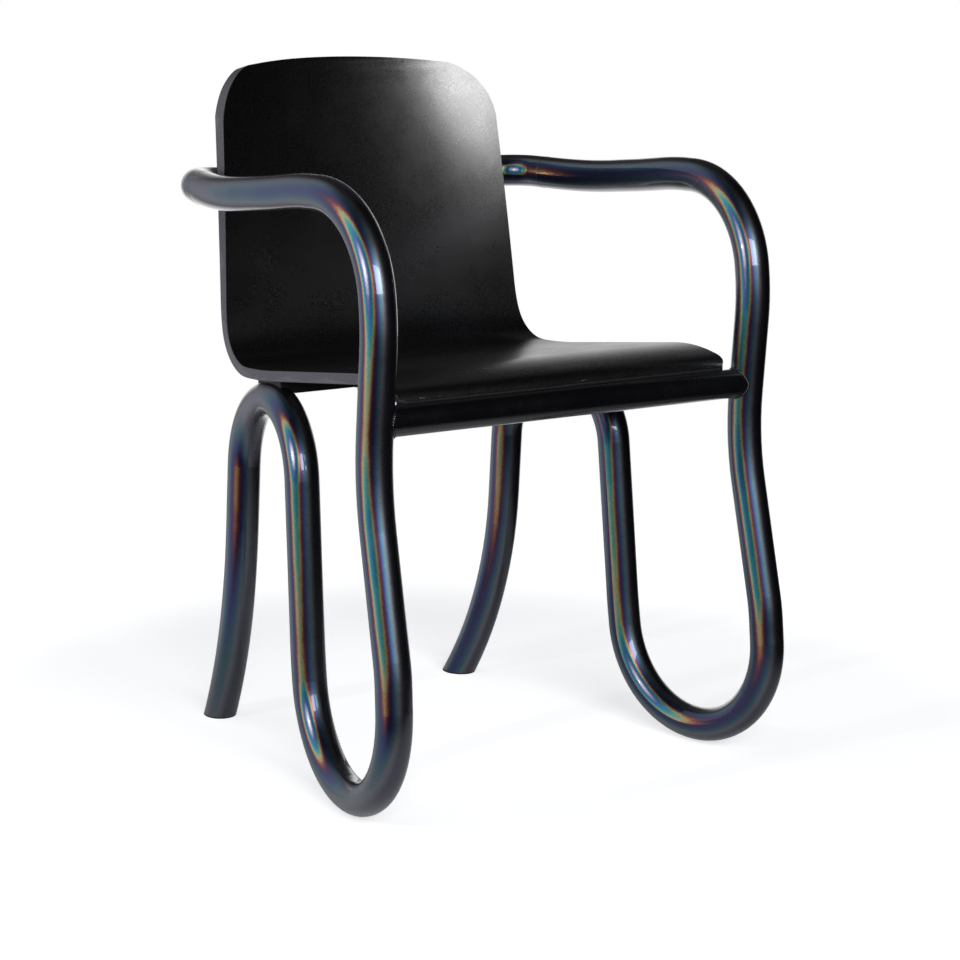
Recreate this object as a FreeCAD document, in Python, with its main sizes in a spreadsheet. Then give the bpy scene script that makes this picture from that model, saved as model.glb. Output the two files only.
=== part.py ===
"""Armchair of bent steel tube with one moulded plywood shell for seat and back.

Millimetres, +Z up, front towards -Y, sitter's right towards -X.
The origin is on the floor, under the middle of the outline.
"""
import FreeCAD, Part
import Sketcher
import math
import os

Vector = FreeCAD.Vector
Placement = FreeCAD.Placement
Rotation = FreeCAD.Rotation

# Driving dimensions in millimetres, and turns in degrees.
SIZES = {
    # Side tubes and hoop
    "tube_diameter": 38.0,
    "tube_wall": 2.0,
    "seat_gap": 0.3,
    "overrun": 20.0,
    # Where a side tube ends and the hoop begins, measured ahead of the curl's bend point
    "joint_before_curl": 57.0,
    "joint_seam": 0.4,
    "sleeve_length": 30.0,
    "sleeve_wall": 2.0,
    "sleeve_play": 0.15,
    # Hoop round the back
    "hoop_station": 236.4,
    # How far out the hoop leaves the back
    "hoop_wrap_out": 173.1,
    "curl_out": 221.3,
    "curl_bend": 66.0,
    # Rear foot plugs
    "sole_thickness": 2.0,
    "bung_height": 14.0,
    "bung_play": 0.2,
    # Front rail
    "rail_diameter": 32.0,
    "rail_wall": 2.0,
    # Rail's middle below the seat's lowest line
    "rail_drop": 12.7,
    # Crossbar under the rear of the seat
    "bar_width": 30.0,
    "bar_thickness": 14.0,
    "bar_station": -57.0,
    # Saddle pads on the arches
    "arch_pad_length": 50.0,
    "arch_pad_width": 12.0,
    "arch_pad_station": -48.0,
    # Tabs on the rail, bent to the underside of the seat's front
    "tab_width": 36.0,
    "tab_thickness": 3.0,
    "tab_rear_station": -270.0,
    "tab_screw_station": -284.0,
    "tab_foot_length": 7.0,
    "tab_foot_lap": 0.6,
    "tab_foot_drop": 6.0,
    # Shell thickness
    "core_thickness": 10.0,
    "laminate_thickness": 0.8,
    # Shell's lengthwise profile, measured on its upper face from the seat's lowest line
    "seat_low_depth": 113.7,
    "seat_low_height": 440.4,
    "dish_radius": 538.6,
    "dish_angle": 6.37,
    "seat_straight": 183.1,
    "crown_radius": 201.6,
    "crown_angle": 21.48,
    "roll_radius": 16.0,
    "roll_angle": 69.9,
    "lumbar_radius": 58.7,
    "lumbar_angle": 65.1,
    "upper_radius": 180.3,
    "upper_angle": 10.2,
    "back_length": 380.2,
    "section_spacing": 13.0,
    # Shell's width and the hollow across its back
    "seat_half_width": 204.5,
    "seat_front_flare": 8.3,
    "back_top_half_width": 180.4,
    "hollow_start": 43.5,
    "hollow_top_radius": 330.0,
    "top_crown_radius": 629.0,
    "top_corner_radius": 80.0,
    "front_corner_radius": 14.0,
    "front_edge_gap": 1.0,
    # Screws, washers and threaded inserts
    "screw_radius": 3.0,
    "screw_play": 0.3,
    "head_radius": 5.5,
    "head_height": 3.5,
    "socket_radius": 2.3,
    "socket_depth": 2.0,
    "washer_radius": 8.0,
    "washer_thickness": 1.6,
    "saddle_washer_thickness": 3.0,
    "insert_radius": 4.5,
    "insert_length": 8.0,
    "insert_play": 0.1,
    "thread_reach": 6.5,
    "front_screw_out": 120.0,
    "rear_screw_out": 90.0,
    "back_screw_out": 95.0,
}

# Bend points of one side tube from the rear foot to the arm:
# distance out from the middle plane, depth, height and bend radius.
SIDE_BENDS = {
    "foot": (172.5, 253.6, 0.0, 0.0),
    "rear_leg": (183.7, 179.9, 112.9, 525.0),
    "arch_rear": (182.5, 153.2, 421.0, 96.6),
    "arch_front": (208.7, -12.5, 401.6, 82.7),
    "inner_leg": (215.0, -33.3, 143.0, 595.0),
    "loop_rear": (217.7, -49.7, 25.6, 112.0),
    "loop_front": (248.6, -265.7, 15.9, 110.0),
    "front_leg": (244.5, -254.0, 177.6, 185.0),
    "waist": (240.8, -212.2, 366.5, 323.0),
    "upper_leg": (240.6, -227.0, 526.1, 244.0),
    "arm_bend": (240.8, -210.5, 645.4, 107.0),
    "arm_front": (242.2, -91.8, 650.2, 398.0),
    "arm_middle": (244.8, -17.9, 643.3, 400.0),
    "arm_back": (246.1, 86.0, 635.4, 400.0),
}
BEND_KEYS = ("out", "depth", "height", "bend")

# Flat steps round a front corner of the sheet
CORNER_STEPS = 9

# Two lengths closer than this are the same length.
SAME_LENGTH = 1e-6

doc = FreeCAD.newDocument("armchair")
sheet = doc.addObject("Spreadsheet::Sheet", "sizes")


def fill_sheet():
    """Write every driving dimension to the sheet under its own name."""
    rows = dict(SIZES)
    for point, values in SIDE_BENDS.items():
        for key, value in zip(BEND_KEYS, values):
            rows[point + "_" + key] = value
    for row, (name, value) in enumerate(rows.items(), start=1):
        sheet.set("A%d" % row, name)
        sheet.set("B%d" % row, str(value))
        sheet.setAlias("B%d" % row, name)
    doc.recompute()


def size(name):
    """A driving dimension's value."""
    return float(sheet.get(name))


fill_sheet()

tube_radius = size("tube_diameter") / 2
rail_height = size("seat_low_height") - size("rail_drop")
shell_thickness = size("core_thickness") + 2 * size("laminate_thickness")


# Small helpers for document objects


def bind(obj, **expressions):
    """Bind an object's properties to the sheet."""
    for name, text in expressions.items():
        obj.setExpression(name, text)
    return obj


def feature(name, shape):
    """A document object that holds a worked-out shape."""
    obj = doc.addObject("Part::Feature", name)
    obj.Shape = shape
    return obj


def cylinder(name, radius, height, placement):
    """A cylinder whose radius and height are expressions on the sheet."""
    obj = doc.addObject("Part::Cylinder", name)
    bind(obj, Radius=radius, Height=height)
    obj.Placement = placement
    return obj


def cut(name, base, tools):
    """The base with each tool taken away in turn."""
    for number, tool in enumerate(tools, start=1):
        last = number == len(tools)
        obj = doc.addObject("Part::Cut", name if last else "%s_cut_%d" % (name, number))
        obj.Base = base
        obj.Tool = tool
        base = obj
    return base


def common(name, base, tool):
    """What the base and the tool share."""
    obj = doc.addObject("Part::Common", name)
    obj.Base = base
    obj.Tool = tool
    return obj


def fuse(name, base, tool):
    """The base and the tool as one solid."""
    obj = doc.addObject("Part::Fuse", name)
    obj.Base = base
    obj.Tool = tool
    return obj


def mirrored(name, source):
    """The source reflected in the chair's middle plane."""
    obj = doc.addObject("Part::Mirroring", name)
    obj.Source = source
    obj.Normal = Vector(1, 0, 0)
    obj.Base = Vector(0, 0, 0)
    return obj


def pair(name, source):
    """One node with a piece and its mirror image as two solids."""
    obj = doc.addObject("Part::Compound", name)
    obj.Links = [source, mirrored(name + "_far", source)]
    return obj


# Shell profile: arcs and straights in the middle plane


class Profile:
    """The upper face's line in the middle plane, from the front edge to the top."""

    def __init__(self):
        arcs = lambda name, sign: (
            size(name + "_radius") * math.radians(size(name + "_angle")),
            sign * math.radians(size(name + "_angle")),
        )
        ahead = [arcs("roll", -1), arcs("crown", -1), (size("seat_straight"), 0.0), arcs("dish", 1)]
        behind = [arcs("lumbar", 1), arcs("upper", 1)]
        behind.append((size("back_length") - sum(length for length, turn in behind), 0.0))
        self.start = -sum(length for length, turn in ahead)
        self.end = size("back_length")
        self.segments = ahead + behind
        self.first_heading = -sum(turn for length, turn in ahead)
        self.offset = Vector(0, 0, 0)
        low = self.point(0.0)
        self.offset = Vector(0, size("seat_low_depth"), size("seat_low_height")) - low

    def walk(self, station):
        """Point and heading at a station, where zero is the seat's lowest line."""
        left = station - self.start
        point = Vector(self.offset)
        heading = self.first_heading
        for length, turn in self.segments:
            step = min(left, length)
            swing = turn * step / length
            chord = step if abs(swing) < SAME_LENGTH else 2 * step / swing * math.sin(swing / 2)
            middle = heading + swing / 2
            point += Vector(0, math.cos(middle), math.sin(middle)) * chord
            heading += swing
            left -= step
            if left <= 0:
                break
        return point, heading

    def point(self, station):
        return self.walk(station)[0]

    def along(self, station):
        """Unit vector along the profile, towards the top."""
        heading = self.walk(station)[1]
        return Vector(0, math.cos(heading), math.sin(heading))

    def normal(self, station):
        """Unit vector out of the upper face."""
        heading = self.walk(station)[1]
        return Vector(0, -math.sin(heading), math.cos(heading))

    def stations(self):
        """Where the loft's sections lie, evenly along each arc and straight."""
        found = [self.start]
        for length, turn in self.segments:
            count = max(2, round(length / size("section_spacing")))
            first = found[-1]
            found += [first + length * number / count for number in range(1, count + 1)]
        return found


profile = Profile()


def half_width(station):
    """Half the shell's width, widest at the front edge and narrowest at the top."""
    if station <= 0:
        return size("seat_half_width") + size("seat_front_flare") * station / profile.start
    share = station / size("back_length")
    return size("seat_half_width") + share * (size("back_top_half_width") - size("seat_half_width"))


def hollow(station):
    """How far the shell's side edges stand forward of its middle at a station."""
    start = size("hollow_start")
    reach = size("back_length") - start
    if station <= SAME_LENGTH:
        return 0.0
    blend = 2 * start
    run = station ** 2 / (2 * blend) if station < blend else station - start
    return run / reach / size("hollow_top_radius") * half_width(station) ** 2 / 2


def hollow_radius(station):
    """Radius across the shell's upper face at a station."""
    depth = hollow(station)
    return (half_width(station) ** 2 + depth ** 2) / (2 * depth)


def across(station, out, depth_in):
    """Point on the section at a station: out along the face, and down into the sheet."""
    middle = profile.point(station)
    normal = profile.normal(station)
    if hollow(station) == 0.0:
        return middle + Vector(out, 0, 0) - normal * depth_in
    radius = hollow_radius(station)
    centre = middle + normal * radius
    lean = math.asin(out / radius)
    return centre + (Vector(1, 0, 0) * math.sin(lean) - normal * math.cos(lean)) * (radius + depth_in)


def inward(station, out):
    """Unit vector into the sheet, square to the upper face."""
    return (across(station, out, shell_thickness) - across(station, out, 0)).normalize()


def face_line(station, depth_in):
    """The section's line across the sheet at one depth, straight or an arc."""
    reach = half_width(station)
    left = across(station, -reach, depth_in)
    right = across(station, reach, depth_in)
    if hollow(station) == 0.0:
        return Part.LineSegment(left, right).toShape()
    return Part.Arc(left, across(station, 0, depth_in), right).toShape()


def section(station, upper, lower):
    """Closed section of one layer of the sheet."""
    top = face_line(station, upper)
    bottom = face_line(station, lower)
    ends = [line.Vertexes for line in (top, bottom)]
    left = Part.LineSegment(ends[1][0].Point, ends[0][0].Point).toShape()
    right = Part.LineSegment(ends[0][1].Point, ends[1][1].Point).toShape()
    return Part.Wire([top, right, bottom, left])


def sheet_layer(name, upper, lower, stations):
    """One layer of the sheet as a loft through its sections, between two depths."""
    wires = []
    for number, station in enumerate(stations, start=1):
        wires.append(feature("%s_section_%d" % (name, number), section(station, upper, lower)))
    loft = doc.addObject("Part::Loft", name)
    loft.Sections = wires
    loft.Solid = True
    loft.Ruled = False
    return loft


# Outline cutters for the shell


def prism(name, points, along):
    """A prism over a closed outline of lines and arcs, pushed along a vector."""
    edges = []
    for first, second in zip(points, points[1:] + points[:1]):
        if isinstance(first, tuple):
            continue
        if isinstance(second, tuple):
            edges.append(Part.Arc(first, second[0], second[1]).toShape())
            continue
        edges.append(Part.LineSegment(first, second).toShape())
    for index, item in enumerate(points):
        if isinstance(item, tuple):
            following = points[(index + 1) % len(points)]
            edges.append(Part.LineSegment(item[1], following).toShape())
    outline = Part.Wire(Part.__sortEdges__(edges))
    return feature(name, Part.Face(outline).extrude(along))


def top_crown_cutter():
    """Leaves the top edge as one long arc."""
    reach = size("seat_half_width")
    radius = size("top_crown_radius")
    crown = profile.point(profile.end)
    along = profile.along(profile.end)
    normal = profile.normal(profile.end)
    push = normal * (size("seat_half_width"))
    drop = radius - math.sqrt(radius ** 2 - reach ** 2)
    base = crown - push / 2
    left = base - Vector(reach, 0, 0) - along * drop
    right = base + Vector(reach, 0, 0) - along * drop
    lift = along * (drop + size("overrun"))
    points = [left + lift, left, (base, right), right + lift]
    return prism("top_crown_cutter", points, push)


def top_corner_cutter():
    """Rounds the back's upper corner, square to the sheet at its side edge."""
    reach = half_width(profile.end)
    into = inward(profile.end, reach)
    radius = size("top_crown_radius")
    slope = math.asin((reach - size("top_corner_radius")) / (radius - size("top_corner_radius")))
    drop = radius * (1 - math.cos(slope)) + (reach - radius * math.sin(slope)) * math.tan(slope)
    up_side = (across(profile.end, reach, 0) - across(profile.end - drop, half_width(profile.end - drop), 0))
    up_side.normalize()
    level = Vector(up_side).cross(into).normalize()
    if level.x < 0:
        level = level * -1
    end_line = (level * math.cos(slope) - up_side * math.sin(slope)).normalize()
    corner = across(profile.end - drop, half_width(profile.end - drop), 0)
    push = into * (2 * size("overrun") + shell_thickness)
    start = corner - into * size("overrun")
    return tangent_corner("top_corner_cutter", start, up_side, end_line, push)


def tangent_corner(name, corner, up_side, end_line, push):
    """Cuts a corner to an arc that is tangent to both edges, which meet at any angle."""
    radius = size("top_corner_radius")
    down = up_side * -1
    back = end_line * -1
    half = math.acos(max(-1.0, min(1.0, down.dot(back)))) / 2
    reach = radius / math.tan(half)
    bisector = (down + back).normalize()
    centre = corner + bisector * (radius / math.sin(half))
    on_side = corner + down * reach
    on_end = corner + back * reach
    middle = centre - bisector * radius
    outer = corner - bisector * size("overrun") * 2
    side_out = on_side + (outer - corner)
    end_out = on_end + (outer - corner)
    points = [on_side, (middle, on_end), end_out, outer, side_out]
    return prism(name, points, push)


def front_corner_cutter():
    """Rounds the roll's corner, square to the sheet all the way round the bend."""
    radius = size("front_corner_radius")
    reach = half_width(profile.start)
    outside = reach + size("overrun")
    above = -size("front_edge_gap")
    below = (size("roll_radius") + shell_thickness) / 2
    turns = [math.pi / 2 * number / CORNER_STEPS for number in range(CORNER_STEPS + 1)]
    limits = [(radius * (1 - math.cos(turn)), reach - radius * (1 - math.sin(turn))) for turn in turns]
    limits = [(above, limits[0][1])] + limits
    wires = []
    for number, (ahead, limit) in enumerate(limits, start=1):
        spots = [(limit, above), (outside, above), (outside, below), (limit, below), (limit, above)]
        outline = Part.makePolygon([across(profile.start + ahead, out, depth) for out, depth in spots])
        wires.append(feature("front_corner_section_%d" % number, outline))
    loft = doc.addObject("Part::Loft", "front_corner_cutter")
    loft.Sections = wires
    loft.Solid = True
    loft.Ruled = True
    return loft


def front_edge_cutter():
    """Cuts the roll's end level, just above the rail."""
    tip = profile.point(profile.start)
    level = rail_height + size("rail_diameter") / 2 + size("front_edge_gap")
    block = doc.addObject("Part::Box", "front_edge_cutter")
    bind(block, Length="2 * (sizes.seat_half_width + sizes.seat_front_flare + sizes.overrun)")
    bind(block, Height="sizes.overrun")
    block.Width = 2 * size("roll_radius")
    low = Vector(-block.Length.Value / 2, tip.y - size("roll_radius"), level - size("overrun"))
    block.Placement = Placement(low, Rotation())
    return block


# Routes of the bent tubes


def bend_point(name):
    """A side tube's bend point on the right-hand side, with its bend radius."""
    values = [size(name + "_" + key) for key in BEND_KEYS]
    return Vector(-values[0], values[1], values[2]), values[3]


def hoop_point(out, lift):
    """A point in the hoop's plane: out from the middle, and behind the shell's face."""
    station = size("hoop_station")
    return profile.point(station) + Vector(-out, 0, 0) - profile.normal(station) * lift


def hoop_bends():
    """The curl and the hoop's own bend point, set by the shell that the hoop wraps."""
    lift = shell_thickness + size("seat_gap") + tube_radius
    radius = hollow_radius(size("hoop_station")) + lift
    wrap = math.asin(size("hoop_wrap_out") / radius)
    peak = lift + radius * (1 / math.cos(wrap) - 1)
    curl = hoop_point(size("curl_out"), peak - size("curl_out") * math.tan(wrap))
    return (curl, size("curl_bend")), (hoop_point(0, peak), radius)


def bent_route(points):
    """Edges of straight runs joined by tangent arcs through bend points."""
    edges = []
    here = points[0][0]
    for (before, _), (corner, radius), (after, _) in zip(points, points[1:], points[2:]):
        arriving = (corner - before).normalize()
        leaving = (after - corner).normalize()
        turn = arriving.getAngle(leaving)
        reach = radius * math.tan(turn / 2)
        start = corner - arriving * reach
        end = corner + leaving * reach
        bisector = (leaving - arriving).normalize()
        middle = corner + bisector * radius * (1 / math.cos(turn / 2) - 1)
        edges.append(Part.LineSegment(here, start).toShape())
        edges.append(Part.Arc(start, middle, end).toShape())
        here = end
    edges.append(Part.LineSegment(here, points[-1][0]).toShape())
    return edges


side_points = [bend_point(name) for name in SIDE_BENDS]
curl_bend, hoop_bend = hoop_bends()
to_curl = (curl_bend[0] - side_points[-1][0]).normalize()
joint = curl_bend[0] - to_curl * size("joint_before_curl")
foot_rise = (side_points[1][0] - side_points[0][0]).normalize()
below_foot = side_points[0][0] - foot_rise * size("tube_diameter")
side_route_points = [(below_foot, 0.0)] + side_points[1:] + [(joint - to_curl * size("joint_seam") / 2, 0.0)]


def reflected(point):
    return Vector(-point.x, point.y, point.z)


def route(name, points):
    """A tube's centre line as one wire."""
    return feature(name, Part.Wire(bent_route(points)))


def swept(name, path, radius):
    """A round bar of a bound radius, swept along a centre line."""
    first = path.Shape.Edges[0]
    start = first.Vertexes[0].Point
    heading = first.tangentAt(first.FirstParameter)
    circle = doc.addObject("Part::Circle", name + "_circle")
    bind(circle, Radius=radius)
    circle.Placement = Placement(start, Rotation(Vector(0, 0, 1), heading))
    sweep = doc.addObject("Part::Sweep", name)
    sweep.Sections = [circle]
    sweep.Spine = (path, ["Edge%d" % number for number in range(1, len(path.Shape.Edges) + 1)])
    sweep.Solid = True
    sweep.Frenet = False
    return sweep


OUTER = "sizes.tube_diameter / 2"
BORE = "sizes.tube_diameter / 2 - sizes.tube_wall"
ENVELOPE = "sizes.tube_diameter / 2 + sizes.seat_gap"


def floor_slab(name, bottom, top):
    """A slab round one rear foot between two heights."""
    foot = side_points[0][0]
    slab = doc.addObject("Part::Box", name)
    bind(slab, Length="4 * sizes.tube_diameter", Width="4 * sizes.tube_diameter")
    slab.Height = top - bottom
    corner = Vector(2 * size("tube_diameter"), 2 * size("tube_diameter"), 0)
    slab.Placement = Placement(foot - corner + Vector(0, 0, bottom), Rotation())
    return slab


def frame_tubes():
    """Both side tubes, with their rear ends cut level for the foot plugs."""
    path = route("side_route", side_route_points)
    outer = swept("side_outer", path, OUTER)
    bore = swept("side_bore", path, BORE)
    floor = floor_slab("floor_cutter", -2 * size("tube_diameter"), size("sole_thickness"))
    right = cut("side_tube_right", outer, [bore, floor])
    left = mirrored("side_tube_left", right)
    envelope = swept("side_envelope", path, ENVELOPE)
    return path, right, left, [envelope, mirrored("side_envelope_far", envelope)]


def foot_plugs(path):
    """Plugs that close the rear feet: a sole of the tube's outline and a bung inside."""
    sole = common(
        "foot_sole",
        swept("sole_bar", path, OUTER),
        floor_slab("sole_slab", 0.0, size("sole_thickness")),
    )
    bung = common(
        "foot_bung",
        swept("bung_bar", path, BORE + " - sizes.bung_play"),
        floor_slab("bung_slab", size("sole_thickness"), size("sole_thickness") + size("bung_height")),
    )
    right = fuse("foot_plug_right", sole, bung)
    return [right, mirrored("foot_plug_left", right)]


def back_hoop(screw_holes):
    """The tube behind the back, with a curl at each end."""
    start = joint + to_curl * size("joint_seam") / 2
    points = [(start, 0.0), curl_bend, hoop_bend]
    points += [(reflected(point), radius) for point, radius in reversed(points[:2])]
    path = route("hoop_route", points)
    outer = swept("hoop_outer", path, OUTER)
    bore = swept("hoop_bore", path, BORE)
    return cut("back_hoop", outer, [bore] + screw_holes)


def joint_sleeves():
    """Short tubes inside the joints between the side tubes and the hoop."""
    length = size("sleeve_length")
    start = joint - to_curl * length / 2
    placement = Placement(start, Rotation(Vector(0, 0, 1), to_curl))
    outer = cylinder("sleeve_outer", BORE + " - sizes.sleeve_play", "sizes.sleeve_length", placement)
    bore = cylinder(
        "sleeve_bore", BORE + " - sizes.sleeve_play - sizes.sleeve_wall", "sizes.sleeve_length", placement
    )
    right = cut("joint_sleeve_right", outer, [bore])
    return [right, mirrored("joint_sleeve_left", right)]


def depth_at_height(path, height, ahead_of):
    """Where a route crosses a height, on the stretch ahead of a depth."""
    for edge in path.Shape.Edges:
        low = edge.valueAt(edge.FirstParameter)
        high = edge.valueAt(edge.LastParameter)
        if low.y < ahead_of and min(low.z, high.z) <= height <= max(low.z, high.z):
            level = Part.Plane(Vector(0, 0, height), Vector(0, 0, 1))
            hit = edge.Curve.intersect(level)
            hits = [Vector(point.X, point.Y, point.Z) for point in hit[0]]
            return min(hits, key=lambda point: (point - low).Length)
    raise ValueError("the route doesn't cross that height")


# Fasteners


def facing(base, direction):
    """A frame on the sheet's underside whose Z axis runs into the sheet."""
    return Placement(base, Rotation(Vector(0, 0, 1), direction))


def shifted(frame, distance):
    """The same frame moved along its Z axis."""
    return frame.multiply(Placement(Vector(0, 0, distance), Rotation()))


def insert(name, frame):
    """Threaded insert let into the sheet, flush with its underside."""
    outer = cylinder(name + "_outer", "sizes.insert_radius", "sizes.insert_length", frame)
    bore = cylinder(name + "_bore", "sizes.screw_radius", "sizes.insert_length", frame)
    return cut(name, outer, [bore])


def insert_hole(name, frame):
    """The blind hole that an insert sits in."""
    start = shifted(frame, -size("overrun"))
    return cylinder(
        name, "sizes.insert_radius + sizes.insert_play", "sizes.insert_length + sizes.overrun", start
    )


def screw(name, frame, grip):
    """Screw with a socket head, from its bearing face up into the insert."""
    bearing = shifted(frame, -grip)
    shank = cylinder(name + "_shank", "sizes.screw_radius", "sizes.thread_reach + %r" % grip, bearing)
    head = cylinder(
        name + "_head", "sizes.head_radius", "sizes.head_height", shifted(bearing, -size("head_height"))
    )
    socket = cylinder(
        name + "_socket", "sizes.socket_radius", "sizes.socket_depth", shifted(bearing, -size("head_height"))
    )
    return cut(name, fuse(name + "_blank", shank, head), [socket])


def screw_hole(name, frame, grip):
    """Clearance hole through whatever the screw passes below the sheet."""
    start = shifted(frame, -grip - size("overrun"))
    return cylinder(
        name, "sizes.screw_radius + sizes.screw_play", "2 * sizes.overrun + %r" % grip, start
    )


def washer(name, frame, grip, thickness, extra_cutters):
    """Washer under a screw's head, hollowed where it sits on a round tube."""
    start = shifted(frame, -grip)
    disc = cylinder(name + "_disc", "sizes.washer_radius", "sizes.%s" % thickness, start)
    hole = screw_hole(name + "_hole", frame, grip)
    return cut(name, disc, [hole] + extra_cutters)


def build():
    """Model every piece and return them by name."""
    nodes = []
    path, side_right, side_left, envelopes = frame_tubes()
    nodes += [side_right, side_left]
    nodes += foot_plugs(path)
    nodes += joint_sleeves()

    # Front rail, coped onto the front legs
    leg = depth_at_height(path, rail_height, size("arch_front_depth"))
    rail_end = Placement(leg, Rotation(Vector(0, 0, 1), Vector(1, 0, 0)))
    rail_length = repr(-2 * leg.x)
    rail_outer = cylinder("rail_outer", "sizes.rail_diameter / 2", rail_length, rail_end)
    rail_bore = cylinder(
        "rail_bore", "sizes.rail_diameter / 2 - sizes.rail_wall", rail_length, rail_end
    )
    rail_envelope = cylinder(
        "rail_envelope", "sizes.rail_diameter / 2 + sizes.seat_gap", rail_length, rail_end
    )

    # Where the screws enter the sheet
    tab_station = size("tab_screw_station")
    front_base = across(tab_station, -size("front_screw_out"), shell_thickness)
    front_frame = facing(front_base, profile.normal(tab_station))
    front_grip = 2 * size("seat_gap") + size("tab_thickness") + size("washer_thickness")
    bar_station = size("bar_station")
    rear_base = across(bar_station, -size("rear_screw_out"), shell_thickness)
    rear_frame = facing(rear_base, profile.normal(bar_station))
    rear_grip = size("seat_gap") + size("bar_thickness") + size("washer_thickness")
    back_base = across(size("hoop_station"), -size("back_screw_out"), shell_thickness)
    back_frame = facing(back_base, inward(size("hoop_station"), -size("back_screw_out")) * -1)
    back_grip = size("seat_gap") + 2 * tube_radius + size("saddle_washer_thickness")

    # Shell in three bonded layers
    skin = size("laminate_thickness")
    corner = top_corner_cutter()
    front_corner = front_corner_cutter()
    outline = [
        top_crown_cutter(),
        corner,
        mirrored("top_corner_cutter_far", corner),
        front_corner,
        mirrored("front_corner_cutter_far", front_corner),
        front_edge_cutter(),
    ]
    holes = []
    for name, frame in (("front", front_frame), ("rear", rear_frame), ("back", back_frame)):
        hole = insert_hole(name + "_insert_hole", frame)
        holes += [hole, mirrored(name + "_insert_hole_far", hole)]
    stations = profile.stations()
    face = sheet_layer("face_blank", 0.0, skin, stations)
    core = sheet_layer("core_blank", skin, shell_thickness - skin, stations)
    under = sheet_layer("under_blank", shell_thickness - skin, shell_thickness, stations)
    nodes.append(cut("shell_face_laminate", face, outline))
    nodes.append(cut("shell_core", core, outline + holes))
    nodes.append(cut("shell_rear_laminate", under, outline + holes))
    clearance = sheet_layer("shell_envelope", 0.0, shell_thickness + size("seat_gap"), stations)

    # Rail and the tabs that carry the seat's front
    nodes.append(cut("front_rail", rail_outer, [rail_bore] + envelopes))
    tab_hole = screw_hole("tab_hole", front_frame, front_grip)
    tab = cut("rail_tab_right", rail_tab(leg.y, clearance), [rail_envelope, tab_hole])
    nodes += [tab, mirrored("rail_tab_left", tab)]

    # Hoop with its screw holes
    back_hole = screw_hole("back_hole", back_frame, back_grip)
    nodes.append(back_hoop([back_hole, mirrored("back_hole_far", back_hole)]))

    # Crossbar on the arches
    bar = crossbar_blank(path, bar_station)
    rear_hole = screw_hole("rear_hole", rear_frame, rear_grip)
    nodes.append(cut("rear_crossbar", bar, envelopes + [rear_hole, mirrored("rear_hole_far", rear_hole)]))

    # Pads on the arches
    saddle = cut("arch_pad_right", arch_pad_blank(path), [envelopes[0], clearance])
    nodes += [saddle, mirrored("arch_pad_left", saddle)]

    # Screws, washers and inserts
    hoop_envelope = swept("hoop_envelope", doc.getObject("hoop_route"), ENVELOPE)
    for name, frame, grip, thickness, seats in (
        ("front_seat", front_frame, front_grip, "washer_thickness", []),
        ("rear_seat", rear_frame, rear_grip, "washer_thickness", []),
        ("back", back_frame, back_grip, "saddle_washer_thickness", [hoop_envelope]),
    ):
        nodes.append(pair(name + "_screws", screw(name + "_screw", frame, grip)))
        nodes.append(pair(name + "_washers", washer(name + "_washer", frame, grip, thickness, seats)))
        nodes.append(pair(name + "_inserts", insert(name + "_insert", frame)))
    return nodes


def crossbar_blank(path, station):
    """Flat bar between the arches' pads, just under the seat and parallel to it."""
    body = doc.addObject("PartDesign::Body", "crossbar_body")
    plane = [item for item in body.Origin.OriginFeatures if item.Role == "YZ_Plane"][0]
    sketch = body.newObject("Sketcher::SketchObject", "crossbar_sketch")
    sketch.AttachmentSupport = [(plane, "")]
    sketch.MapMode = "FlatFace"
    width = size("bar_width")
    depth = size("bar_thickness")
    corners = [(-width / 2, -depth), (width / 2, -depth), (width / 2, 0), (-width / 2, 0)]
    corners = [Vector(x, y, 0) for x, y in corners]
    for first, second in zip(corners, corners[1:] + corners[:1]):
        sketch.addGeometry(Part.LineSegment(first, second), False)
    for number in range(4):
        sketch.addConstraint(Sketcher.Constraint("Coincident", number, 2, (number + 1) % 4, 1))
    for number, kind in enumerate(("Horizontal", "Vertical", "Horizontal", "Vertical")):
        sketch.addConstraint(Sketcher.Constraint(kind, number))
    sketch.addConstraint(Sketcher.Constraint("PointOnObject", 2, 1, -1))
    wide = sketch.addConstraint(Sketcher.Constraint("DistanceX", 0, 1, 0, 2, width))
    half = sketch.addConstraint(Sketcher.Constraint("DistanceX", -1, 1, 0, 2, width / 2))
    thick = sketch.addConstraint(Sketcher.Constraint("DistanceY", 1, 1, 1, 2, depth))
    sketch.setExpression("Constraints[%d]" % wide, "sizes.bar_width")
    sketch.setExpression("Constraints[%d]" % half, "sizes.bar_width / 2")
    sketch.setExpression("Constraints[%d]" % thick, "sizes.bar_thickness")
    pad = body.newObject("PartDesign::Pad", "crossbar_pad")
    pad.Profile = sketch
    pad.Midplane = True
    arch = arch_at_depth(path, across(size("arch_pad_station"), 0, shell_thickness).y)
    pad.Length = 2 * (abs(arch.x) - size("arch_pad_width") / 2 - size("seat_gap"))
    doc.recompute()
    slope = math.degrees(profile.walk(station)[1])
    under = across(station, 0, shell_thickness + size("seat_gap"))
    body.Placement = Placement(under, Rotation(Vector(1, 0, 0), slope))
    return body


def tab_block(name, bottom, front, rear, top):
    """A block as wide as the right-hand tab, between two depths and two heights."""
    block = doc.addObject("Part::Box", name)
    bind(block, Length="sizes.tab_width")
    block.Width = rear - front
    block.Height = top - bottom
    left = -size("front_screw_out") - size("tab_width") / 2
    block.Placement = Placement(Vector(left, front, bottom), Rotation())
    return block


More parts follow.
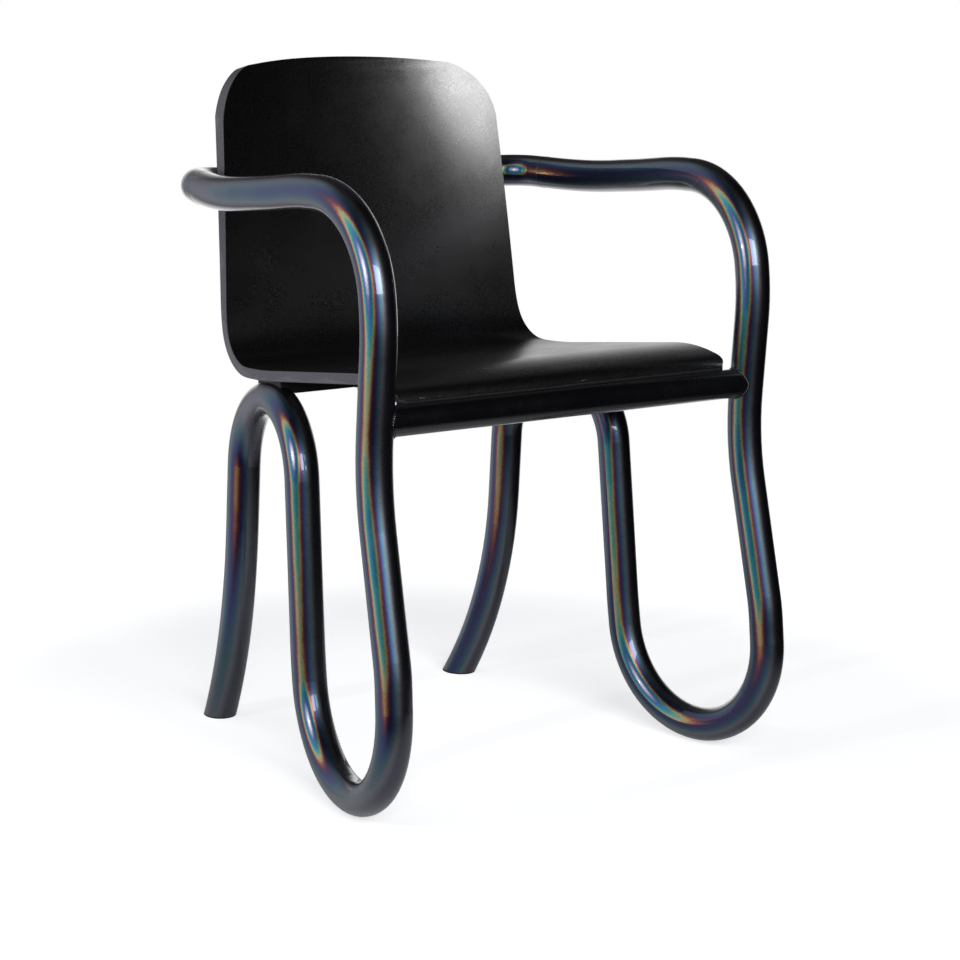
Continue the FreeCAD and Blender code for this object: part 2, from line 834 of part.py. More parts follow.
def rail_tab(rail_depth, clearance):
    """Strip along the seat's underside and a foot behind the rail, before they are coped."""
    crown_end = profile.start + size("roll_radius") * math.radians(size("roll_angle"))
    rear_end = size("tab_rear_station")
    count = round((rear_end - crown_end) / size("section_spacing"))
    stations = [crown_end + (rear_end - crown_end) * step / count for step in range(count + 1)]
    under = shell_thickness + size("seat_gap")
    roof = profile.point(rear_end)
    strip = common(
        "tab_strip",
        sheet_layer("tab_layer", under, under + size("tab_thickness"), stations),
        tab_block("tab_strip_block", rail_height, rail_depth, roof.y + under, roof.z),
    )
    front = rail_depth + size("rail_diameter") / 2 - size("tab_foot_lap")
    bottom = rail_height - size("tab_foot_drop")
    top = across(crown_end, 0, shell_thickness / 2).z
    foot = tab_block("tab_foot_block", bottom, front, front + size("tab_foot_length"), top)
    return fuse("tab_blank", strip, cut("tab_foot", foot, [clearance]))


def arch_pad_blank(path):
    """Block over the top of the right-hand arch, before it is hollowed to fit."""
    station = size("arch_pad_station")
    seat = across(station, 0, shell_thickness)
    middle = arch_at_depth(path, seat.y)
    box = doc.addObject("Part::Box", "arch_pad_block")
    bind(box, Length="sizes.arch_pad_width", Width="sizes.arch_pad_length")
    box.Height = seat.z + shell_thickness / 2 - middle.z
    corner = Vector(size("arch_pad_width") / 2, size("arch_pad_length") / 2, 0)
    box.Placement = Placement(middle - corner, Rotation())
    return box


def arch_at_depth(path, depth):
    """The point on the arch's top that lies at a depth."""
    for edge in path.Shape.Edges:
        low = edge.valueAt(edge.FirstParameter)
        high = edge.valueAt(edge.LastParameter)
        if low.z > rail_height / 2 and min(low.y, high.y) <= depth <= max(low.y, high.y):
            upright = Part.Plane(Vector(0, depth, 0), Vector(0, 1, 0))
            points = [Vector(hit.X, hit.Y, hit.Z) for hit in edge.Curve.intersect(upright)[0]]
            return max(points, key=lambda point: point.z)
    raise ValueError("the arch doesn't reach that depth")


def check(nodes):
    """Stop on any failed object or bad shape."""
    for obj in doc.Objects:
        if "Invalid" in obj.State or "Error" in obj.State:
            raise RuntimeError("%s failed: %s" % (obj.Name, obj.State))
    for node in nodes:
        if node.Shape.isNull() or not node.Shape.isValid() or not node.Shape.Solids:
            raise RuntimeError(node.Name + " has no valid shape")


def write(nodes):
    """One file per piece, named after it."""
    os.makedirs("parts", exist_ok=True)
    for node in nodes:
        node.Shape.exportStep("parts/%s.step" % node.Label)


pieces = build()
doc.recompute()
check(pieces)
write(pieces)
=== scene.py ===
"""Looks of the armchair of bent steel tube with a moulded plywood shell.

The CAD frame gives every shape its place. This script finishes the surfaces, adds the plies of
the shell's edge, the strip over the rail, the weld beads and the joint seams, and sets the chair
on a pale studio floor.
"""

import math

import bmesh
import bpy
from bpy.props import FloatProperty, FloatVectorProperty, IntProperty, PointerProperty
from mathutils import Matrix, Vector
from mathutils.bvhtree import BVHTree


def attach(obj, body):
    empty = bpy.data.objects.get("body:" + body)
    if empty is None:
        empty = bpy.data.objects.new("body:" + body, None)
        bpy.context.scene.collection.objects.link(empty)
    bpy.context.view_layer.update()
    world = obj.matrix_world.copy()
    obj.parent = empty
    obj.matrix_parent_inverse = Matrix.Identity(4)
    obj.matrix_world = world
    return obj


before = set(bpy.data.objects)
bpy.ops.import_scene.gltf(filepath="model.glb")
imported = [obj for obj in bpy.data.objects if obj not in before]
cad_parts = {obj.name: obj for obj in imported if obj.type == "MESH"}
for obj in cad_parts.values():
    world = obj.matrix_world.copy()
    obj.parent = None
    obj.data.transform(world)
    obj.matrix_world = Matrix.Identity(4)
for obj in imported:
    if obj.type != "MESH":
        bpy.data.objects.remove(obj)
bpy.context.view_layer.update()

bl_info = {
    "name": "Bent Tube Armchair",
    "version": (1, 0, 0),
    "blender": (4, 5, 0),
    "location": "View3D > Sidebar > Armchair",
    "description": "Finishes and stage for an armchair of bent tube with a moulded shell",
    "category": "Object",
}

BODY = "root"
MM = 0.001
SHARP_RIM = math.radians(35)
OUTER_RIM_SHARE = 0.94
BEAD_SIDES = 8
BEAD_STEPS_LEAST = 48
BEAD_STEPS_PER_RIPPLE = 6
SEAM_RADIUS, SEAM_PITCH, SEAM_RIPPLE = 0.22 * MM, 40 * MM, 0.0
WELD_RADIUS, WELD_PITCH, WELD_RIPPLE = 1.6 * MM, 2.4 * MM, 0.10
LIP_STEPS = 60
LIP_HALF_WIDTH = 210.5 * MM
LIP_STRIP_HALF_DEPTH = 1.8 * MM
LIP_STRIP_SHARES = (-1.0, -0.4, 0.4, 1.0)
LIP_SEARCH_MM = range(-13, 14)
LIP_REACH = 20 * MM
LIP_SLACK = 0.6 * MM
LIP_SINK_RAIL, LIP_SINK_SHELL = 0.3 * MM, 0.9 * MM
PLY_TOUCH = 0.5 * MM
PLY_OFFSET = 0.06 * MM
PLY_UV_PER_METRE = 4.0
UP = Vector((0, 0, 1))


# Settings


class ArmchairFinish(bpy.types.PropertyGroup):
    """Colours and textures of the chair's surfaces."""

    tube_base: FloatVectorProperty(
        name="Tube Base",
        description="Metal flake colour of the tubes away from the rainbow",
        default=(0.08, 0.08, 0.10),
        size=3,
        subtype="COLOR",
    )
    tube_roughness: FloatProperty(
        name="Tube Roughness",
        description="Spread of the light in the flake layer",
        default=0.36,
        min=0.0,
        max=1.0,
        subtype="FACTOR",
    )
    flake_size: FloatProperty(
        name="Flake Size",
        description="Width of one flake in the tube paint",
        default=0.5 * MM,
        unit="LENGTH",
    )
    laminate_colour: FloatVectorProperty(
        name="Laminate",
        description="Black of the shell's faces",
        default=(0.0012, 0.0012, 0.0016),
        size=3,
        subtype="COLOR",
    )
    laminate_roughness: FloatProperty(
        name="Laminate Roughness",
        description="Satin of the shell's faces",
        default=0.26,
        min=0.0,
        max=1.0,
        subtype="FACTOR",
    )
    ply_light: FloatVectorProperty(
        name="Light Ply",
        description="Stained plies with the grain along the edge",
        default=(0.16, 0.15, 0.17),
        size=3,
        subtype="COLOR",
    )
    ply_dark: FloatVectorProperty(
        name="Dark Ply",
        description="Stained plies with end grain and the glue between",
        default=(0.045, 0.040, 0.050),
        size=3,
        subtype="COLOR",
    )
    ply_count: IntProperty(
        name="Plies",
        description="Number of plies in the core",
        default=9,
        min=3,
    )


class ArmchairStage(bpy.types.PropertyGroup):
    """Camera, floor and lights."""

    # The camera's place also centres the painted rainbow highlight on the tubes.
    camera_place: FloatVectorProperty(
        name="Camera",
        description="Where the camera stands",
        default=(-1.4759, -2.2198, 0.8320),
        size=3,
        subtype="TRANSLATION",
        unit="LENGTH",
    )
    camera_yaw: FloatProperty(
        name="Yaw",
        description="Turn of the view from +Y to +X",
        default=math.radians(34.208),
        subtype="ANGLE",
    )
    camera_pitch: FloatProperty(
        name="Pitch",
        description="Tilt of the view below the horizon",
        default=math.radians(11.113),
        subtype="ANGLE",
    )
    lens: FloatProperty(
        name="Lens",
        description="Focal length for a 36 mm sensor",
        default=90.0,
        unit="CAMERA",
    )
    floor_radius: FloatProperty(
        name="Floor",
        description="Radius at which the floor has faded into the white room",
        default=1.9,
        unit="LENGTH",
    )
    # The small lamp's place also centres the painted rainbow highlight on the tubes.
    shine_place: FloatVectorProperty(
        name="Small Lamp",
        description="The lamp whose reflection sits inside the rainbow on the tubes",
        default=(-2.0, -0.25, 0.95),
        size=3,
        subtype="TRANSLATION",
        unit="LENGTH",
    )


# Shader trees


class Tree:
    """Makes and joins the nodes of one shader tree."""

    def __init__(self, tree):
        self.tree = tree

    def node(self, kind, inputs=(), **settings):
        made = self.tree.nodes.new(kind)
        for key, value in settings.items():
            setattr(made, key, value)
        for key, value in dict(inputs).items():
            self.feed(made, key, value)
        return made

    def feed(self, node, key, value):
        socket = node.inputs[key]
        if isinstance(value, bpy.types.NodeSocket):
            self.tree.links.new(value, socket)
        elif isinstance(value, bpy.types.Node):
            self.tree.links.new(value.outputs[0], socket)
        else:
            socket.default_value = value

    def maths(self, operation, first, second=0.0, clamp=False):
        return self.node(
            "ShaderNodeMath", {0: first, 1: second}, operation=operation, use_clamp=clamp
        ).outputs[0]

    def vector(self, operation, first, second=(0.0, 0.0, 0.0), output=0):
        return self.node(
            "ShaderNodeVectorMath", {0: first, 1: second}, operation=operation
        ).outputs[output]

    def mix(self, factor, first, second, blend="MIX"):
        made = self.node("ShaderNodeMix", data_type="RGBA", blend_type=blend)
        for key, value in ((0, factor), (6, first), (7, second)):
            self.feed(made, key, value)
        return made.outputs[2]

    def ramp(self, factor, stops, interpolation="LINEAR"):
        made = self.node("ShaderNodeValToRGB", {0: factor})
        made.color_ramp.interpolation = interpolation
        elements = made.color_ramp.elements
        while len(elements) < len(stops):
            elements.new(0.5)
        for element, (place, colour) in zip(elements, stops):
            element.position = place
            element.color = (*colour, 1.0) if len(colour) == 3 else colour
        return made.outputs[0]

    def noise(self, place, scale, detail=3.0, roughness=0.5):
        return self.node(
            "ShaderNodeTexNoise",
            {"Vector": place, "Scale": scale, "Detail": detail, "Roughness": roughness},
        )


def grey(value):
    return (value, value, value)


def new_group(name, inputs, outputs):
    """An empty node group with its sockets: (name, kind, default) for each."""
    group = bpy.data.node_groups.new(name, "ShaderNodeTree")
    kinds = {
        "value": "NodeSocketFloat",
        "vector": "NodeSocketVector",
        "colour": "NodeSocketColor",
    }
    for way, sockets in (("INPUT", inputs), ("OUTPUT", outputs)):
        for label, kind, default in sockets:
            made = group.interface.new_socket(label, in_out=way, socket_type=kinds[kind])
            if default is not None:
                made.default_value = default
    tree = Tree(group)
    return group, tree, tree.node("NodeGroupInput"), tree.node("NodeGroupOutput")


FLAKE_DRIFT = 0.05
CLOUD_DRIFT = 0.06
# Painted highlight: rainbow colours by the share of the angle from where the lamp would shine
# back, pale at the centre, fading into the tube's base colour.
PAINTED_HIGHLIGHT_SPREAD = math.radians(60)
PAINTED_HIGHLIGHT_COLOURS = (
    (0.00, (0.38, 0.38, 0.43)),
    (0.09, (0.24, 0.25, 0.34)),
    (0.15, (0.07, 0.10, 0.30)),
    (0.21, (0.03, 0.26, 0.40)),
    (0.26, (0.12, 0.46, 0.34)),
    (0.30, (0.60, 0.54, 0.26)),
    (0.34, (0.52, 0.20, 0.08)),
    (0.37, (0.22, 0.06, 0.08)),
    (0.43, (0.05, 0.04, 0.10)),
    (0.53, (0.045, 0.06, 0.17)),
    (0.64, (0.05, 0.13, 0.15)),
    (0.78, (0.16, 0.16, 0.19)),
)


def painted_highlight_and_flakes_group():
    """Painted rainbow highlight: colour that turns through the rainbow away from where a lamp
    would shine back to the onlooker, also from the same way turned half round; and a mask of the
    real flakes.
    """
    group, tree, given, result = new_group(
        "Painted Highlight And Flakes",
        (
            ("Base", "colour", (0.1, 0.1, 0.12, 1.0)),
            ("Lamp", "vector", (-2.0, 0.0, 1.0)),
            ("Onlooker", "vector", (-1.5, -2.0, 1.0)),
            ("Flake Size", "value", 0.0005),
        ),
        (("Colour", "colour", None), ("Flakes", "value", None)),
    )
    place = tree.node("ShaderNodeTexCoord").outputs["Object"]
    facing = tree.node("ShaderNodeNewGeometry").outputs["Normal"]
    ways = [
        tree.vector("NORMALIZE", tree.vector("SUBTRACT", given.outputs[name], place))
        for name in ("Lamp", "Onlooker")
    ]
    # The halfway way between lamp and onlooker is the centre of the painted highlight; its turned
    # copy paints a second one on the far side.
    centre = tree.vector("NORMALIZE", tree.vector("ADD", *ways))
    opposite = tree.vector("MULTIPLY", centre, (-1.0, -1.0, 1.0))
    nearest = tree.maths(
        "MAXIMUM",
        tree.vector("DOT_PRODUCT", facing, centre, output=1),
        tree.vector("DOT_PRODUCT", facing, opposite, output=1),
    )
    angle = tree.maths("ARCCOSINE", tree.maths("MINIMUM", nearest, 1.0))
    cells = tree.node(
        "ShaderNodeTexVoronoi",
        {"Vector": place, "Scale": tree.maths("DIVIDE", 1.0, given.outputs["Flake Size"])},
    )
    tint = tree.node("ShaderNodeSeparateColor", {0: cells.outputs["Color"]})
    drift = tree.maths("MULTIPLY", tree.maths("SUBTRACT", tint.outputs[0], 0.5), FLAKE_DRIFT)
    cloud = tree.noise(place, 22.0, 2.0).outputs[0]
    slow = tree.maths("MULTIPLY", tree.maths("SUBTRACT", cloud, 0.5), CLOUD_DRIFT)
    drift = tree.maths("ADD", drift, slow)
    share = tree.maths("ADD", tree.maths("DIVIDE", angle, PAINTED_HIGHLIGHT_SPREAD), drift, clamp=True)
    # Outside the painted highlight the colour fades into the tube's own base colour.
    fade = tree.ramp(share, ((0.0, grey(0.0)), (0.80, grey(0.0)), (1.0, grey(1.0))))
    colour = tree.mix(fade, tree.ramp(share, PAINTED_HIGHLIGHT_COLOURS), given.outputs["Base"])
    tree.feed(result, "Colour", colour)
    tree.feed(result, "Flakes", tree.maths("GREATER_THAN", tint.outputs[1], 0.97))
    return group


def grain_group():
    """Fine pores and slow waves of a coated surface, as a height and a mask."""
    group, tree, given, result = new_group(
        "Surface Grain",
        (
            ("Scale", "value", 900.0),
            ("Stretch", "vector", (1.0, 1.0, 1.0)),
            ("Wave Scale", "value", 14.0),
        ),
        (("Height", "value", None), ("Mask", "value", None)),
    )
    place = tree.node("ShaderNodeTexCoord").outputs["Object"]
    stretched = tree.vector("MULTIPLY", place, given.outputs["Stretch"])
    fine = tree.noise(stretched, given.outputs["Scale"], 3.0).outputs[0]
    wave = tree.noise(place, given.outputs["Wave Scale"], 2.0).outputs[0]
    tree.feed(
        result, "Height", tree.maths("ADD", tree.maths("MULTIPLY", fine, 0.3), wave)
    )
    tree.feed(result, "Mask", tree.ramp(fine, ((0.35, grey(0.0)), (0.65, grey(1.0)))))
    return group


def wear_group():
    """Faint dust and rubbing, as a mask that changes over the surface."""
    group, tree, given, result = new_group(
        "Soft Wear",
        (("Scale", "value", 9.0), ("Amount", "value", 0.5)),
        (("Mask", "value", None),),
    )
    place = tree.node("ShaderNodeTexCoord").outputs["Object"]
    patches = tree.noise(place, given.outputs["Scale"], 5.0, 0.65).outputs[0]
    mask = tree.ramp(patches, ((0.42, grey(0.0)), (0.72, grey(1.0))))
    tree.feed(result, "Mask", tree.maths("MULTIPLY", mask, given.outputs["Amount"]))
    return group


GROUPS = {}


def effect(name):
    """The shared node group of that name, made once."""
    makers = {"painted_highlight_and_flakes": painted_highlight_and_flakes_group, "grain": grain_group, "wear": wear_group}
    if name not in GROUPS:
        GROUPS[name] = makers[name]()
    return GROUPS[name]


def new_material(name):
    """A material with its tree, and its Principled shader joined to the output."""
    material = bpy.data.materials.new(name)
    material.use_nodes = True
    material.node_tree.nodes.clear()
    tree = Tree(material.node_tree)
    shader = tree.node("ShaderNodeBsdfPrincipled")
    output = tree.node("ShaderNodeOutputMaterial")
    tree.feed(output, "Surface", shader.outputs[0])
    return material, tree, shader


def place_group(tree, name, inputs):
    made = tree.node("ShaderNodeGroup", node_tree=effect(name))
    for key, value in inputs.items():
        tree.feed(made, key, value)
    return made


def bump(tree, shader, height, strength, distance):
    normal = tree.node(
        "ShaderNodeBump", {"Height": height, "Strength": strength, "Distance": distance}
    )
    tree.feed(shader, "Normal", normal.outputs[0])


def set_plain(shader, **values):
    """Values that are the same all over, on the shader's own sockets."""
    for key, value in values.items():
        shader.inputs[key.replace("_", " ")].default_value = value


def tube_material():
    """Gloss paint over metal flakes; its rainbow is a painted highlight in the base colour, round
    where the small lamp would shine back to the camera's place.
    """
    finish = bpy.context.scene.armchair_finish
    stage = bpy.context.scene.armchair_stage
    material, tree, shader = new_material("Tube Paint")
    # The base colour is a painted rainbow highlight, set from the small lamp's place and the
    # camera's place.
    painted_highlight_and_flakes = place_group(
        tree,
        "painted_highlight_and_flakes",
        {
            "Base": (*finish.tube_base, 1.0),
            "Lamp": stage.shine_place,
            "Onlooker": stage.camera_place,
            "Flake Size": finish.flake_size,
        },
    )
    wear = place_group(tree, "wear", {"Scale": 30.0, "Amount": 0.05})
    flakes = tree.maths("MULTIPLY", painted_highlight_and_flakes.outputs["Flakes"], -0.12)
    roughness = tree.maths("ADD", wear.outputs["Mask"], finish.tube_roughness)
    tree.feed(shader, "Base Color", painted_highlight_and_flakes.outputs["Colour"])
    tree.feed(shader, "Roughness", tree.maths("ADD", roughness, flakes))
    set_plain(shader, Metallic=1.0, Coat_Weight=1.0, Coat_Roughness=0.03, Coat_IOR=1.42)
    return material


def rail_material():
    """Plain gloss black of the rail."""
    material, tree, shader = new_material("Rail Paint")
    grain = place_group(tree, "grain", {"Scale": 260.0, "Wave Scale": 18.0})
    wear = place_group(tree, "wear", {"Scale": 24.0, "Amount": 0.12})
    tree.feed(
        shader,
        "Base Color",
        tree.mix(wear.outputs["Mask"], (0.003, 0.003, 0.004, 1.0), (0.010, 0.010, 0.012, 1.0)),
    )
    tree.feed(shader, "Roughness", tree.maths("ADD", wear.outputs["Mask"], 0.22))
    bump(tree, shader, grain.outputs["Height"], 0.05, 0.2 * MM)
    set_plain(shader, Metallic=0.0, Coat_Weight=0.6, Coat_Roughness=0.08)
    return material


def bracket_material():
    """Satin black powder coat."""
    material, tree, shader = new_material("Bracket Paint")
    grain = place_group(tree, "grain", {"Scale": 1400.0, "Wave Scale": 40.0})
    tree.feed(
        shader,
        "Base Color",
        tree.mix(grain.outputs["Mask"], (0.014, 0.013, 0.014, 1.0), (0.026, 0.024, 0.026, 1.0)),
    )
    rough = tree.maths("MULTIPLY", grain.outputs["Mask"], 0.1)
    tree.feed(shader, "Roughness", tree.maths("ADD", rough, 0.4))
    bump(tree, shader, grain.outputs["Height"], 0.2, 0.15 * MM)
    return material


def rubber_material(name, colour, roughness, scale):
    """Moulded rubber or plastic with a fine matt skin."""
    material, tree, shader = new_material(name)
    grain = place_group(tree, "grain", {"Scale": scale, "Wave Scale": 60.0})
    wear = place_group(tree, "wear", {"Scale": 60.0, "Amount": 0.25})
    light = tuple(channel * 2.2 for channel in colour)
    tree.feed(
        shader, "Base Color", tree.mix(wear.outputs["Mask"], (*colour, 1.0), (*light, 1.0))
    )
    tree.feed(
        shader,
        "Roughness",
        tree.maths("ADD", tree.maths("MULTIPLY", grain.outputs["Mask"], 0.12), roughness),
    )
    bump(tree, shader, grain.outputs["Height"], 0.3, 0.1 * MM)
    return material


def metal_material(name, colour, roughness):
    """Turned or drawn metal with fine scratches round it."""
    material, tree, shader = new_material(name)
    grain = place_group(
        tree, "grain", {"Scale": 900.0, "Stretch": (1.0, 1.0, 8.0), "Wave Scale": 90.0}
    )
    dull = tuple(channel * 0.6 for channel in colour)
    tree.feed(
        shader, "Base Color", tree.mix(grain.outputs["Mask"], (*dull, 1.0), (*colour, 1.0))
    )
    tree.feed(
        shader,
        "Roughness",
        tree.maths("ADD", tree.maths("MULTIPLY", grain.outputs["Mask"], 0.15), roughness),
    )
    bump(tree, shader, grain.outputs["Height"], 0.15, 0.05 * MM)
    set_plain(shader, Metallic=1.0)
    return material


def laminate_material(name, extra):
    """Black satin laminate with a faint leathery texture; extra is added to its roughness."""
    finish = bpy.context.scene.armchair_finish
    material, tree, shader = new_material(name)
    grain = place_group(tree, "grain", {"Scale": 520.0, "Wave Scale": 7.0})
    wear = place_group(tree, "wear", {"Scale": 12.0, "Amount": 0.05})
    black = (*finish.laminate_colour, 1.0)
    tree.feed(
        shader,
        "Base Color",
        tree.mix(grain.outputs["Mask"], black, (0.0045, 0.0045, 0.0055, 1.0)),
    )
    roughness = tree.maths(
        "ADD",
        tree.maths("MULTIPLY", grain.outputs["Mask"], 0.04),
        tree.maths("ADD", wear.outputs["Mask"], finish.laminate_roughness + extra),
    )
    tree.feed(shader, "Roughness", roughness)
    bump(tree, shader, grain.outputs["Height"], 0.10, 0.15 * MM)
    set_plain(shader, IOR=2.0)
    return material


def ply_material():
    """Stained plywood, plain, for the core under the edge's stack of plies."""
    colour = bpy.context.scene.armchair_finish.ply_light
    material, tree, shader = new_material("Light Ply")
    grain = place_group(tree, "grain", {"Scale": 700.0, "Wave Scale": 35.0})
    wear = place_group(tree, "wear", {"Scale": 40.0, "Amount": 0.5})
    dark = tuple(channel * 0.62 for channel in colour)
    rubbed = tuple(channel * 1.25 for channel in colour)
    grained = tree.mix(grain.outputs["Mask"], (*dark, 1.0), (*colour, 1.0))
    tree.feed(shader, "Base Color", tree.mix(wear.outputs["Mask"], grained, (*rubbed, 1.0)))
    rough = tree.maths("MULTIPLY", grain.outputs["Mask"], 0.1)
    tree.feed(shader, "Roughness", tree.maths("ADD", rough, 0.38))
    bump(tree, shader, grain.outputs["Height"], 0.2, 0.1 * MM)
    return material


def ply_edge_material():
    """Stained plies with dark glue lines along the shell's edge, black round the front roll."""
    finish = bpy.context.scene.armchair_finish
    material, tree, shader = new_material("Ply Edge")
    depth = tree.node("ShaderNodeSeparateXYZ", {0: tree.node("ShaderNodeUVMap")}).outputs[1]
    place = tree.node("ShaderNodeTexCoord").outputs["Object"]
    waver = tree.noise(place, 40.0, 3.0).outputs[0]
    waver = tree.maths("MULTIPLY", tree.maths("SUBTRACT", waver, 0.5), 0.03)
    stack = tree.maths("MULTIPLY", tree.maths("ADD", depth, waver), float(finish.ply_count))
    across = tree.maths("ABSOLUTE", tree.maths("SUBTRACT", tree.maths("FRACT", stack), 0.5))
    line = tree.ramp(across, ((0.30, grey(0.0)), (0.46, grey(1.0))))
    pair = tree.maths("FRACT", tree.maths("MULTIPLY", stack, 0.5))
    turn = tree.maths("GREATER_THAN", pair, 0.5)
    grain = place_group(tree, "grain", {"Scale": 1600.0, "Wave Scale": 50.0})
    light, dark = (*finish.ply_light, 1.0), (*finish.ply_dark, 1.0)
    medium = tuple(0.6 * first + 0.4 * second for first, second in zip(light, dark))
    plies = tree.mix(turn, light, medium)
    plies = tree.mix(tree.maths("MULTIPLY", grain.outputs["Mask"], 0.35), plies, dark)
    ahead = tree.node("ShaderNodeSeparateXYZ", {0: place}).outputs[1]
    ahead = tree.maths("MULTIPLY", ahead, -1.0)
    front = tree.ramp(ahead, ((0.175, grey(0.0)), (0.190, grey(1.0))))
    edge = tree.mix(front, tree.mix(line, plies, dark), (0.003, 0.003, 0.004, 1.0))
    tree.feed(shader, "Base Color", edge)
    tree.feed(shader, "Roughness", tree.maths("ADD", tree.maths("MULTIPLY", line, 0.15), 0.36))
    height = tree.maths("SUBTRACT", grain.outputs["Height"], line)
    bump(tree, shader, height, 0.25, 0.1 * MM)
    return material


def dress(nodes, material):
    """Gives CAD nodes a material in their own slots."""
    for name in nodes:
        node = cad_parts[name]
        if not node.material_slots:
            node.data.materials.append(material)
        for slot in node.material_slots:
            slot.material = material


# Pieces


def new_piece(name, material, make):
    """A mesh piece that rides on the chair; make(shape) fills its bmesh."""
    mesh = bpy.data.meshes.new(name)
    shape = bmesh.new()
    make(shape)
    bmesh.ops.recalc_face_normals(shape, faces=shape.faces)
    shape.to_mesh(mesh)
    shape.free()
    mesh.shade_smooth()
    mesh.materials.append(material)
    piece = bpy.data.objects.new(name, mesh)
    bpy.context.scene.collection.objects.link(piece)
    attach(piece, BODY)


def frame_shape(name):
    """A copy of a CAD node's mesh as a bmesh in the scene's place, its split points joined."""
    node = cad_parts[name]
    shape = bmesh.new()
    shape.from_mesh(node.data)
    shape.transform(node.matrix_world)
    bmesh.ops.remove_doubles(shape, verts=shape.verts, dist=0.01 * MM)
    return shape


def frame_surface(name):
    """The same as a tree for rays and nearest points."""
    shape = frame_shape(name)
    surface = BVHTree.FromBMesh(shape)
    shape.free()
    return surface


def rim_rows(name):
    """Closed rows of points along the outer rims of a round CAD piece's ends."""
    shape = frame_shape(name)
    sharp = {
        edge: True
        for edge in shape.edges
        if len(edge.link_faces) == 2 and edge.calc_face_angle() > SHARP_RIM
    }
    rows = []
    while sharp:
        first = next(iter(sharp))
        del sharp[first]
        row = list(first.verts)
        onward = [edge for edge in row[-1].link_edges if edge in sharp]
        while onward:
            del sharp[onward[0]]
            row.append(onward[0].other_vert(row[-1]))
            onward = [edge for edge in row[-1].link_edges if edge in sharp]
        rows.append([vert.co.copy() for vert in row[:-1]])
    shape.free()
    spans = [max((point - row[0]).length for point in row) for row in rows]
    return [row for row, span in zip(rows, spans) if span > OUTER_RIM_SHARE * max(spans)]


def even_row(row, pitch):
    """The closed row again with its points at even distances, and its length."""
    closed = row + row[:1]
    steps = [(after - before).length for before, after in zip(closed, closed[1:])]
    total = sum(steps)
    count = max(BEAD_STEPS_LEAST, int(BEAD_STEPS_PER_RIPPLE * total / pitch))
    places, index, passed = [], 0, 0.0
    for number in range(count):
        target = total * number / count
        while passed + steps[index] < target:
            passed += steps[index]
            index += 1
        share = (target - passed) / steps[index]
        places.append(closed[index].lerp(closed[index + 1], share))
    return places, total


def join_rings(shape, rings):
    """Faces between each ring of points and the next one."""
    for before, after in zip(rings, rings[1:]):
        for index, point in enumerate(before):
            onward = (index + 1) % len(before)
            shape.faces.new((point, before[onward], after[onward], after[index]))


def bead(shape, row, radius, pitch, ripple):
    """A rippled bead along a closed row, with its middle on the row."""
    places, total = even_row(row, pitch)
    count = len(places)
    centre = sum(places, Vector()) / count
    turns = [math.tau * number / BEAD_SIDES for number in range(BEAD_SIDES)]
    rings = []
    for index, place in enumerate(places):
        ahead = (places[(index + 1) % count] - places[index - 1]).normalized()
        out = place - centre
        out = (out - ahead * out.dot(ahead)).normalized()
        side = ahead.cross(out)
        wave = math.sin(math.tau * total * index / count / pitch)
        swell = radius * (1.0 + ripple * wave)
        arms = [swell * math.cos(turn) * out + swell * math.sin(turn) * side for turn in turns]
        rings.append([shape.verts.new(place + arm) for arm in arms])
    join_rings(shape, rings + rings[:1])


def lip_strip(shape):
    """A soft strip that fills the gap between the rail and the shell's front roll."""
    rail = frame_shape("front_rail")
    low = Vector([min(vert.co[axis] for vert in rail.verts) for axis in range(3)])
    high = Vector([max(vert.co[axis] for vert in rail.verts) for axis in range(3)])
    rail.free()
    centre, radius = (low + high) / 2, (high.y - low.y) / 2
    layers = [
        frame_surface(name)
        for name in ("shell_core", "shell_face_laminate", "shell_rear_laminate")
    ]

    def gap_above(x, offset):
        """The point on the rail's skin there, and how far the shell is above it."""
        top = centre.z + math.sqrt(radius**2 - offset**2)
        start = Vector((x, centre.y + offset, top))
        gaps = [layer.ray_cast(start, UP, LIP_REACH)[3] for layer in layers]
        return start, min((gap for gap in gaps if gap is not None), default=None)

    rings = []
    for step in range(LIP_STEPS + 1):
        x = centre.x + LIP_HALF_WIDTH * (2 * step / LIP_STEPS - 1)
        found = [(gap_above(x, offset * MM)[1], offset * MM) for offset in LIP_SEARCH_MM]
        found = [pair for pair in found if pair[0] is not None]
        if not found:
            continue
        least, middle = min(found)
        floor, roof = [], []
        for share in LIP_STRIP_SHARES:
            start, gap = gap_above(x, middle + share * LIP_STRIP_HALF_DEPTH)
            gap = least if gap is None else min(gap, least + LIP_SLACK)
            floor.append(shape.verts.new(start - UP * LIP_SINK_RAIL))
            roof.append(shape.verts.new(start + UP * (gap + LIP_SINK_SHELL)))
        rings.append(floor + roof[::-1])
    join_rings(shape, rings)
    shape.faces.new(rings[0])
    shape.faces.new(rings[-1][::-1])


def ply_band(shape):
    """The core's edge faces, a hair outside it, with the depth across the plies as V."""
    core = frame_shape("shell_core")
    face = frame_surface("shell_face_laminate")
    near = {vert: face.find_nearest(vert.co)[3] < PLY_TOUCH for vert in core.verts}
    depth = shape.loops.layers.uv.new("depth")
    core.normal_update()
    made = {}
    for part in core.faces:
        sides = [near[vert] for vert in part.verts]
        if all(sides) or not any(sides):
            continue
        for vert in part.verts:
            if vert not in made:
                edges = [
                    other.normal
                    for other in vert.link_faces
                    if len({near[corner] for corner in other.verts}) == 2
                ]
                push = sum(edges, Vector()).normalized()
                made[vert] = shape.verts.new(vert.co + push * PLY_OFFSET)
        band = shape.faces.new([made[vert] for vert in part.verts])
        for loop, vert in zip(band.loops, part.verts):
            loop[depth].uv = (vert.co.z * PLY_UV_PER_METRE, 0.0 if near[vert] else 1.0)
    core.free()


